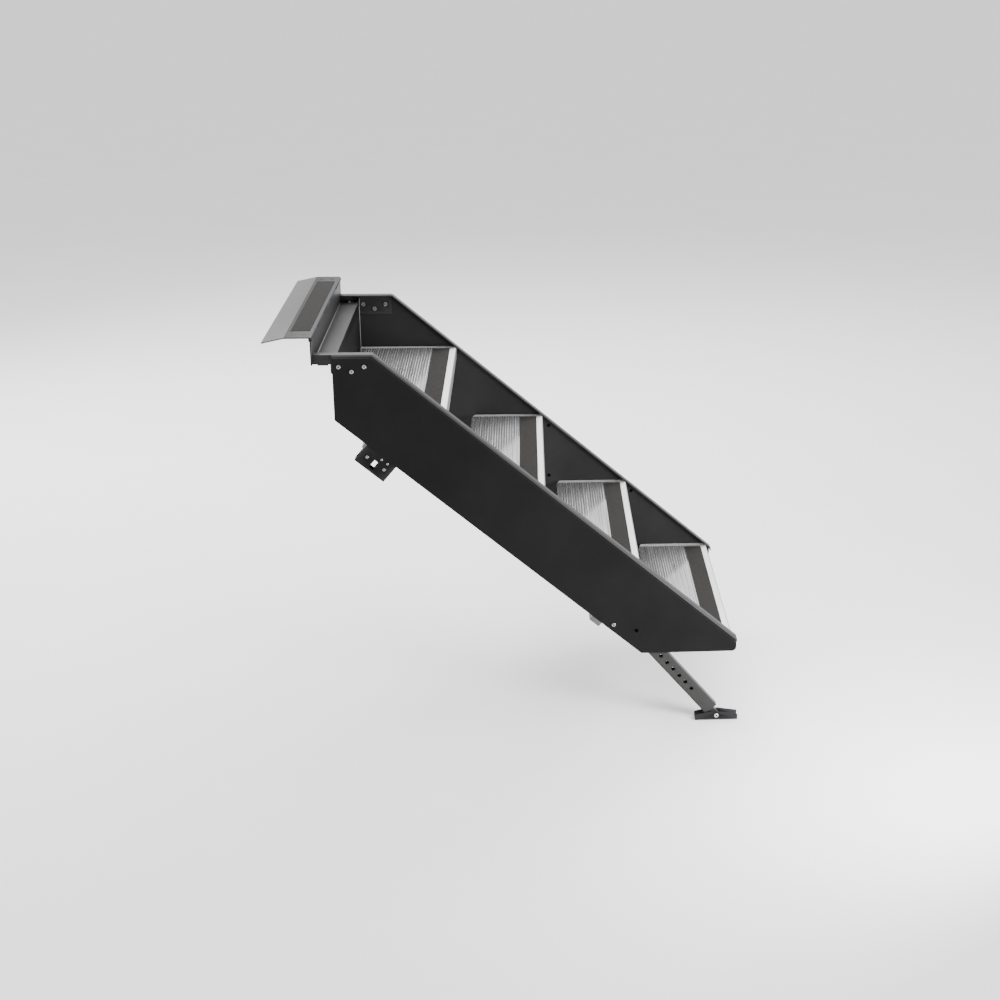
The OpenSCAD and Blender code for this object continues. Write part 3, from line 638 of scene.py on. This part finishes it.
# painted highlight: the lip of the threshold takes the paler, glossier lip coat
piece.data.materials.append(lipHighlightCoat)
for face in piece.data.polygons:
    if face.center.x < -threshold["flatBack"]:
        face.material_index = 1
addPiece("fixingHoleRims", plateScrews(), "threshold", "black_coat", coat)
addPiece("hingePin", softened("hinge_pin", threshold["pinEdge"]), "threshold", "black_coat", coat,
         "hinge_pin")
print("threshold made")


# Upper riser and ledge, one bent sheet with the moving knuckles
riser = {"sheet": 0.003, "bend": 0.0045, "edge": 0.0008, "underBarrel": 0.0045, "bendReach": 0.0075,
         "kickEdge": 0.0008, "armEdge": 0.0003, "seamBack": 0.002, "seamDrop": 0.0065}
riserLow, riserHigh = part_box("hinge_riser")
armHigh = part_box("arm_left")[1]


def riserSheet():
    half = riser["sheet"] / 2
    top = pinMiddle.z - riser["underBarrel"]
    base = riserLow.z + half
    ledgeHalf = armHigh.y - riser["sheet"]
    fold = foldLoop([(pinMiddle.x, top), (pinMiddle.x, base), (riserHigh.x, base)], [riser["bend"]],
                    riser["sheet"])
    meshes = [sheetMesh([fold], -ledgeHalf, ledgeHalf, riser["edge"])]
    rear, front = pinMiddle.x - half, pinMiddle.x + half
    end = [(rear, riserLow.z), (front, riserLow.z), (front, top), (rear, top)]
    for low, high in ((-halfWidth, -ledgeHalf), (ledgeHalf, halfWidth)):
        meshes.append(sheetMesh([end], low, high, 0.0004))
    tab = [(rear, top - 0.001), (front, top - 0.001), (front, pinMiddle.z), (rear, pinMiddle.z)]
    for k in range(1, threshold["knuckles"], 2):
        low, high = knuckleSpan(k)
        meshes += [sheetMesh([tab], low, high, 0.0003), knuckleMesh(k)]
    return joined(*meshes)


piece = addPiece("riserSheet", riserSheet(), "stair", "black_coat", ledgeCoat, "hinge_riser")
piece.data.materials.append(lipHighlightCoat)  # painted highlight: a paler, glossier coat along the bend
for face in piece.data.polygons:
    inBend = max(face.center.x - pinMiddle.x, face.center.z - riserLow.z) < riser["bendReach"]
    if inBend and min(face.normal.x, face.normal.z) > 0.2:
        face.material_index = 1
piece = addPiece("kickSheet", softened("kick_plate", riser["kickEdge"]), "stair", "black_coat", shadeCoat,
                 "kick_plate")
# painted highlight: the top of each end tab of the kick plate takes the pale coat
piece.data.materials.append(kickHighlightCoat)
for face in piece.data.polygons:
    behindSeam = face.center.x > riserHigh.x + riser["seamBack"]
    if behindSeam and face.center.z > riserLow.z - riser["seamDrop"]:
        face.material_index = 1
for side in ("left", "right"):
    # painted light: the arms take the paler inner coat, and their up-facing faces the rim coat as a painted
    # highlight
    piece = addPiece("arm" + side.title(), softened("arm_" + side, riser["armEdge"]), "stair", "black_coat",
                     innerPaintedLightCoat, "arm_" + side)
    piece.data.materials.append(rimHighlightCoat)
    for face in piece.data.polygons:
        if face.normal.z > 0.7:
            face.material_index = 1

highlightBead = {"radius": 0.0012, "inset": 0.0011, "earDrop": 0.007}


def kickHighlightBeads():
    # painted highlight: a pale bead in each corner of the kick plate stands in for the light line there
    centre = (riserHigh.x + highlightBead["inset"], armHigh.y - riser["sheet"] - highlightBead["inset"])
    bead = sheetMesh([ring(centre, highlightBead["radius"], 16)], firstNose.z, riserLow.z - highlightBead["earDrop"], 0.0004,
                     "XY")
    return joined(bead, mirrored(bead))


addPiece("kickHighlightBeads", kickHighlightBeads(), "stair", "black_coat", kickHighlightCoat)
print("riser, kick plate and arms made")


# Bolts: domed heads with a dark socket
armBolt = {"head": 0.0054, "height": 0.0035, "socket": 0.0019, "shank": 0.004, "length": 0.0095}
stayBolt = {"head": 0.0042, "height": 0.003, "socket": 0.0015, "shank": 0.003, "length": 0.0295}
stayScrew = {"head": 0.00325, "height": 0.002, "socket": 0.0012, "shank": 0.002, "length": 0.005}
ledgeScrew = {"socket": 0.0022, "shank": 0.003, "length": 0.006}
boltShape = {"socketDepth": 0.45, "lip": 0.0003, "skirt": 0.3}
boltSeat = {"arm": 0.00575, "stay": (0.0052, 0.0054)}
sleeveNut = {"radius": 0.00575, "height": 0.0035}
stayNut = {"radius": 0.0055, "height": 0.0035}
nutEdge = 0.0004


def boltProfile(size):
    # from the socket's floor, over the dome, to the end of the shank
    head, height, socket = size["head"], size["height"], size["socket"]
    shank, length = size["shank"], size["length"]
    floorAt, skirt = height * (1 - boltShape["socketDepth"]), height * boltShape["skirt"]
    start = socket + boltShape["lip"]
    dome = [(start + (head - start) * sin(k * pi / 12), skirt + (height - skirt) * cos(k * pi / 12) ** 0.7)
            for k in range(6)]
    return [(0.0001, floorAt), (socket, floorAt), (socket, height - boltShape["lip"])] + dome + [
        (head, skirt), (head, 0), (shank, 0), (shank, -length), (0.0001, -length)]


def paintSockets(piece, places, size, seat):
    # the socket's floor and wall are dark
    piece.data.materials.append(socketShade)
    for face in piece.data.polygons:
        near = min((Vector((face.center.x, face.center.z)) - Vector(place)).length for place in places)
        if near < size["socket"] + 0.0001 and abs(face.center.y) > seat:
            face.material_index = 1


def boltRow(name, node, size, places, seat, nut=None):
    # the same bolts on both sides, heads outward, seats at that distance from the middle plane
    meshes = []
    for x, z in places:
        mesh = latheMesh(boltProfile(size), (x, seat, z))
        meshes += [mesh, mirrored(mesh)]
        if nut:
            inner = seat - size["length"]
            mesh = sheetMesh([ring((x, z), nut["radius"], 6, -slope)], inner, inner + nut["height"], nutEdge)
            meshes += [mesh, mirrored(mesh)]
    piece = addPiece(name, joined(*meshes), "stair", "zinc", zinc, node)
    paintSockets(piece, places, size, seat)


low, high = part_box("arm_bolts")
r = boltSeat["arm"]
armPlaces = [(low.x + r, high.z - r), ((low.x + high.x) / 2, low.z + r), (high.x - r, high.z - r)]
boltRow("armBolts", "arm_bolts", armBolt, armPlaces, panelHigh.y)
low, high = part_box("sleeve_bolts")
sleevePlaces = [((low.x + high.x) / 2, (low.z + high.z) / 2)]
boltRow("sleeveBolts", "sleeve_bolts", armBolt, sleevePlaces, panelHigh.y, sleeveNut)
low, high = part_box("stay_bolts")
rx, rz = boltSeat["stay"]
stayPlaces = [(low.x + rx, high.z - rz), (high.x - rx, low.z + rz)]
boltRow("stayBolts", "stay_bolts", stayBolt, stayPlaces, high.y - stayBolt["height"], stayNut)
low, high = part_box("stay_screws")
r = stayScrew["head"]
screwPlaces = [(low.x + r, high.z - r), (high.x - r, low.z + r)]
boltRow("stayScrews", "stay_screws", stayScrew, screwPlaces, high.y - stayScrew["height"])
for name, piece, finish in (("arm_nuts", "armNuts", freshZinc), ("bracket_nuts_left", "angleNutsLeft", zinc),
                            ("bracket_nuts_right", "angleNutsRight", zinc)):
    addPiece(piece, softened(name, nutEdge), "stair", "zinc", finish, name)


def ledgeScrewHeads():
    low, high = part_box("ledge_screws")
    top = riserLow.z + riser["sheet"]
    head = (high.x - low.x) / 2
    size = {**ledgeScrew, "head": head, "height": high.z - top}
    meshes = []
    for sign in (-1, 1):
        mesh = latheMesh(boltProfile(size), (0, 0, 0))
        place = ((low.x + high.x) / 2, sign * (high.y - head), top)
        mesh.transform(Matrix.Translation(place) @ Matrix.Rotation(pi / 2, 4, "X"))
        meshes.append(mesh)
    return joined(*meshes)


addPiece("ledgeScrews", ledgeScrewHeads(), "stair", "zinc", braceShadeAlloy, "ledge_screws")
print("bolts made")


# Angles, stay brackets, leg sleeves and braces
edgeRound = {"angle": 0.0006, "bracket": 0.0009, "sleeve": 0.0009, "upperBrace": 0.0008, "lowerBrace": 0.0012,
             "leg": 0.0016, "tongue": 0.0006, "foot": 0.0008, "pad": 0.0007}
for side in ("left", "right"):
    name = side.title()
    addPiece("treadAngles" + name, softened("tread_brackets_" + side, edgeRound["angle"]), "stair", "zinc",
             zinc, "tread_brackets_" + side)
    addPiece("stayBracket" + name, softened("stay_bracket_" + side, edgeRound["bracket"]), "stair",
             "black_coat", coat, "stay_bracket_" + side)
    addPiece("legSleeve" + name, softened("leg_sleeve_" + side, edgeRound["sleeve"]), "stair", "black_coat",
             coat, "leg_sleeve_" + side)
addPiece("upperBrace", softened("upper_brace", edgeRound["upperBrace"]), "stair", "aluminium", braceShadeAlloy,
         "upper_brace")
addPiece("lowerBrace", softened("lower_brace", edgeRound["lowerBrace"]), "stair", "aluminium", braceShadeAlloy,
         "lower_brace")

plug = {"radius": 0.005, "height": 0.002, "rim": 0.0006, "lowerDrop": 0.154}


def panelPlugs():
    low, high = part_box("panel_plugs")
    r, h = plug["radius"], plug["height"]
    profile = [(0.0001, -h), (r * 0.55, -h), (r * 0.85, -h * 0.75), (r - plug["rim"], -h * 0.4),
               (r, -h * 0.35), (r, 0), (0.0001, 0)]
    top = high.z - r
    places = [(low.x + r, top), (low.x + r, top - plug["lowerDrop"]), (high.x - r, low.z + r)]
    meshes = []
    for x, z in places:
        mesh = latheMesh(profile, (x, high.y, z), 28)
        meshes += [mesh, mirrored(mesh)]
    return joined(*meshes)


addPiece("panelPlugs", panelPlugs(), "stair", "black_plastic", plugPlastic, "panel_plugs")
print("brackets, braces and plugs made")


# Legs, feet and locking plungers
knob = {"waist": 0.78, "flutes": 12, "fluteDepth": 0.0011}


def knobMesh(side):
    low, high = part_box("pull_knob_left")
    length, radius = high.y - low.y, (high.x - low.x) / 2
    centre = middle("pull_knob_left")
    shape = [(0.0, 0.0), (0.45, 0.02), (0.8, 0.0), (0.95, 0.05), (1.0, 0.14), (1.0, 0.3), (0.92, 0.48),
             (knob["waist"], 0.66), (0.72, 0.84), (0.74, 0.95), (0.68, 1.0), (0.3, 1.0), (0.0, 1.0)]
    rings = []
    count = knob["flutes"] * 6
    for share, along in shape:
        points = []
        for k in range(count):
            angle = 2 * pi * k / count
            dent = knob["fluteDepth"] * max(0, cos(knob["flutes"] * angle)) if 0.9 < share else 0
            reach = max(radius * share - dent, 0.0001)
            points.append(Vector((centre.x + reach * cos(angle), low.y + along * length,
                                  centre.z + reach * sin(angle))))
        rings.append(points)
    return onSide(gridMesh(rings), side)


plunger = {"radius": 0.005, "tip": 0.0012, "groove": 0.0007}


def plungerMesh(side):
    low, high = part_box("plunger_left")
    r, tip = plunger["radius"], plunger["tip"]
    length = high.y - low.y
    neck = r - plunger["groove"]
    profile = [(0.0001, 0), (r, 0), (r, length * 0.3), (neck, length * 0.31), (neck, length * 0.35),
               (r, length * 0.36), (r, length - tip), (r - tip, length), (0.0001, length)]
    centre = middle("plunger_left")
    return onSide(latheMesh(profile, (centre.x, low.y, centre.z)), side)


barrel = {"radius": 0.01, "bore": 0.00505, "flange": 0.0115, "flangeLength": 0.003}


def barrelMesh(side):
    low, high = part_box("plunger_barrel_left")
    b = barrel
    length = high.y - low.y
    radius, collar = b["radius"], length - b["flangeLength"]
    profile = [(b["bore"], 0), (radius - 0.002, 0), (radius - 0.001, 0.0015), (radius - 0.001, length * 0.4),
               (radius, length * 0.42), (radius, collar), (b["flange"], collar), (b["flange"], length),
               (b["bore"], length)]
    centre = middle("plunger_barrel_left")
    rings = turnedRings(profile + profile[:1], (centre.x, low.y, centre.z))
    return onSide(gridMesh(rings, caps=False), side)


footBolt = {"head": 0.0058, "height": 0.0035, "socket": 0.0026, "shank": 0.00395, "socketDepth": 0.0026,
            "socketLip": 0.0004, "chamfer": 0.0007, "nutEdge": 0.0006}


def footBoltMesh(side):
    low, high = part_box("foot_bolt_left")
    f = footBolt
    centre = middle("foot_bolt_left")
    seat = high.y - f["height"]
    top, socket, lip, end = f["height"], f["socket"], f["socketLip"], low.y - seat + 0.001
    profile = [(0.0001, top - f["socketDepth"]), (socket, top - f["socketDepth"]), (socket, top - lip),
               (socket + lip, top), (f["head"] - f["chamfer"], top), (f["head"], top - f["chamfer"]),
               (f["head"], 0), (f["shank"], 0), (f["shank"], end), (0.0001, end)]
    nut = [ring((centre.x, centre.z), f["head"], 6)]
    mesh = joined(latheMesh(profile, (centre.x, seat, centre.z)),
                  sheetMesh(nut, low.y, low.y + f["height"], f["nutEdge"]))
    return onSide(mesh, side)


for side in ("left", "right"):
    name = side.title()
    addPiece("leg" + name, softened("leg_" + side, edgeRound["leg"], 3), side + "_leg", "black_coat", legCoat,
             "leg_" + side)
    addPiece("legTongue" + name, softened("leg_tongue_" + side, edgeRound["tongue"]), side + "_leg",
             "black_coat", legCoat, "leg_tongue_" + side)
    addPiece("foot" + name, softened("foot_" + side, edgeRound["foot"]), side + "_foot", "black_coat", coat,
             "foot_" + side)
    addPiece("footPad" + name, softened("foot_pad_" + side, edgeRound["pad"]), side + "_foot", "rubber",
             padRubber, "foot_pad_" + side)
    piece = addPiece("footBolt" + name, footBoltMesh(side), side + "_foot", "zinc", freshZinc,
                     "foot_bolt_" + side)
    centre = middle("foot_bolt_left")
    paintSockets(piece, [(centre.x, centre.z)], footBolt, centre.y)
    addPiece("plunger" + name, plungerMesh(side), side + "_plunger", "zinc", zinc, "plunger_" + side)
    addPiece("pullKnob" + name, knobMesh(side), side + "_plunger", "black_plastic", knobPlastic,
             "pull_knob_" + side)
    addPiece("plungerBarrel" + name, barrelMesh(side), "stair", "zinc", zinc, "plunger_barrel_" + side)
print("legs, feet and plungers made")


# Stage: a pale floor, soft lights and the camera
studio = {"floorTone": (0.93, 0.93, 0.93), "floorShade": 0.98, "floorSize": 120, "floorGap": 0.0005,
          "sky": 1.3, "lens": 58.3708, "sensor": 36, "cameraAt": (0.5576, -4.1937, 1.0077), "yaw": 4.7342,
          "pitch": 17.6687, "roll": 0.681, "frameShift": (-0.156638, -0.077523)}
lights = {  # place, target, size, power
    "overhead": ((0.4, 0.4, 3.0), (0.5, 0, -0.5), (3.2, 3.2), 90),
    "backBox": ((0.5, 3.0, 2.6), (0.5, 0, -0.5), (4.4, 1.8), 230),
    "leftBack": ((-2.6, 2.2, 1.3), (0.0, 0, 0), (1.8, 2.0), 130),
    "frontFill": ((3.2, -2.6, 0.4), (0.8, 0, -0.6), (1.6, 1.6), 25),
    "toeFill": ((1.75, -0.95, -0.35), (1.0, 0.1, -0.7), (0.5, 0.5), 30),
}


def paleFloor():
    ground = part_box("foot_pad_left")[0].z
    half = studio["floorSize"] / 2
    bm = bmesh.new()
    corners = ((-half, -half), (half, -half), (half, half), (-half, half))
    bm.faces.new([bm.verts.new((x, y, ground - studio["floorGap"])) for x, y in corners])
    mesh = bpy.data.meshes.new("paleFloor")
    bm.to_mesh(mesh)
    bm.free()
    material, tree, shader = startMaterial("paleFloor")
    tone = studio["floorTone"]
    shade = tuple(studio["floorShade"] * c for c in tone)
    tree.links.new(blendColours(tree, spread(tree, noiseNode(tree, 3, 3), 0, 1), tone, shade),
                   shader.inputs["Base Color"])
    shader.inputs["Roughness"].default_value = 0.9
    mesh.materials.append(material)
    floor = bpy.data.objects.new("paleFloor", mesh)
    bpy.context.scene.collection.objects.link(floor)


def softLight(name, place, target, size, power):
    light = bpy.data.lights.new(name, "AREA")
    light.shape = "RECTANGLE"
    light.size, light.size_y = size
    light.energy = power
    lamp = bpy.data.objects.new(name, light)
    lamp.location = place
    lamp.rotation_euler = (Vector(target) - Vector(place)).to_track_quat("-Z", "Y").to_euler()
    bpy.context.scene.collection.objects.link(lamp)


def photoCamera():
    s = studio
    yaw, pitch, roll = radians(s["yaw"]), radians(s["pitch"]), radians(s["roll"])
    right = Vector((cos(yaw), -sin(yaw), 0))
    forward = Vector((sin(yaw) * cos(pitch), cos(yaw) * cos(pitch), -sin(pitch)))
    up = right.cross(forward)
    turnedRight = right * cos(roll) + up * sin(roll)
    turnedUp = up * cos(roll) - right * sin(roll)
    data = bpy.data.cameras.new("photoCamera")
    data.lens, data.sensor_width = s["lens"], s["sensor"]
    data.shift_x, data.shift_y = s["frameShift"]
    data.clip_end = 100
    camera = bpy.data.objects.new("photoCamera", data)
    turn = Matrix((turnedRight, turnedUp, -forward)).transposed().to_4x4()
    camera.matrix_world = Matrix.Translation(s["cameraAt"]) @ turn
    bpy.context.scene.collection.objects.link(camera)
    bpy.context.scene.camera = camera


def paleSky():
    world = bpy.data.worlds.new("paleSky")
    bpy.context.scene.world = world
    world.use_nodes = True
    background = world.node_tree.nodes["Background"]
    background.inputs["Color"].default_value = (1, 1, 1, 1)
    background.inputs["Strength"].default_value = studio["sky"]


paleFloor()
paleSky()
for name, setting in lights.items():
    softLight(name, *setting)
photoCamera()
print("stage set")
